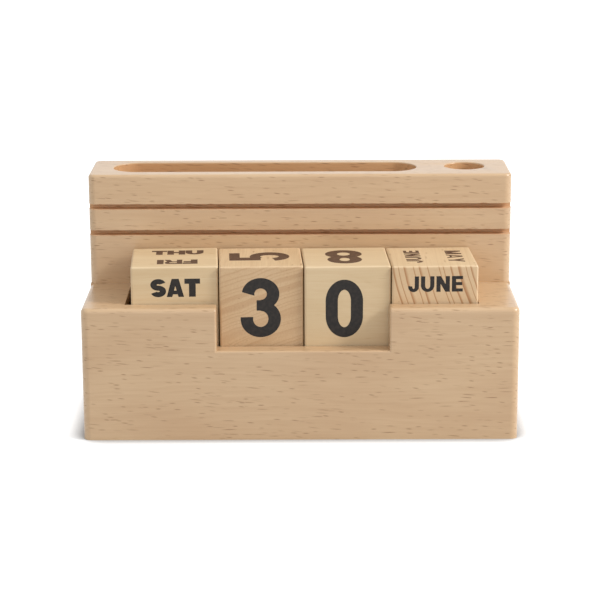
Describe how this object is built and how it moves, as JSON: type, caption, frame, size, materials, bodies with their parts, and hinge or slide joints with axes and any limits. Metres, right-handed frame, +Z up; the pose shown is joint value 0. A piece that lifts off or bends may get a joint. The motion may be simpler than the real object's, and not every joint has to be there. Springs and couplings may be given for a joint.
{
  "type": "desk calendar with drawer",
  "caption": "Wooden perpetual desk calendar with loose date blocks in a pocket, a card slot, a pen hole and a drawer in the base.",
  "frame": {"origin": "on the table, under the middle of the body", "axes": "+X right along the front, +Y to the back, +Z up"},
  "size_m": [0.2046, 0.0914, 0.1174],
  "materials": {
    "body_beech": "clear satin lacquer over planed beech",
    "dowel_beech": "bare turned beech",
    "drawer_beech": "sanded beech",
    "drawer_plywood": "sanded birch plywood",
    "block_wood": "sanded pale hardwood with printed ink"
  },
  "bodies": {
    "base": {"front_board": "body_beech", "back_board": "body_beech", "bottom_board": "body_beech", "pocket_floor": "body_beech", "left_end_panel": "body_beech", "left_pocket_end": "body_beech", "right_pocket_end": "body_beech", "rear_block": "body_beech", "rear_block_dowels": "dowel_beech"},
    "drawer": {"drawer_front": "drawer_beech", "drawer_near_side": "drawer_beech", "drawer_far_side": "drawer_beech", "drawer_inner_end": "drawer_beech", "drawer_bottom": "drawer_plywood"},
    "weekday": {"weekday_block": "block_wood"},
    "tens": {"tens_block": "block_wood"},
    "units": {"units_block": "block_wood"},
    "month": {"month_block": "block_wood"}
  },
  "joints": [
    {"name": "drawer_slide", "type": "slide", "parent": "base", "child": "drawer", "axis": [1, 0, 0], "range_m": [0, 0.15]},
    {"name": "weekday_lift", "type": "slide", "parent": "base", "child": "weekday", "axis": [0, 0, 1], "range_m": [0, 0.045]},
    {"name": "tens_lift", "type": "slide", "parent": "base", "child": "tens", "axis": [0, 0, 1], "range_m": [0, 0.045]},
    {"name": "units_lift", "type": "slide", "parent": "base", "child": "units", "axis": [0, 0, 1], "range_m": [0, 0.045]},
    {"name": "month_lift", "type": "slide", "parent": "base", "child": "month", "axis": [0, 0, 1], "range_m": [0, 0.045]}
  ]
}
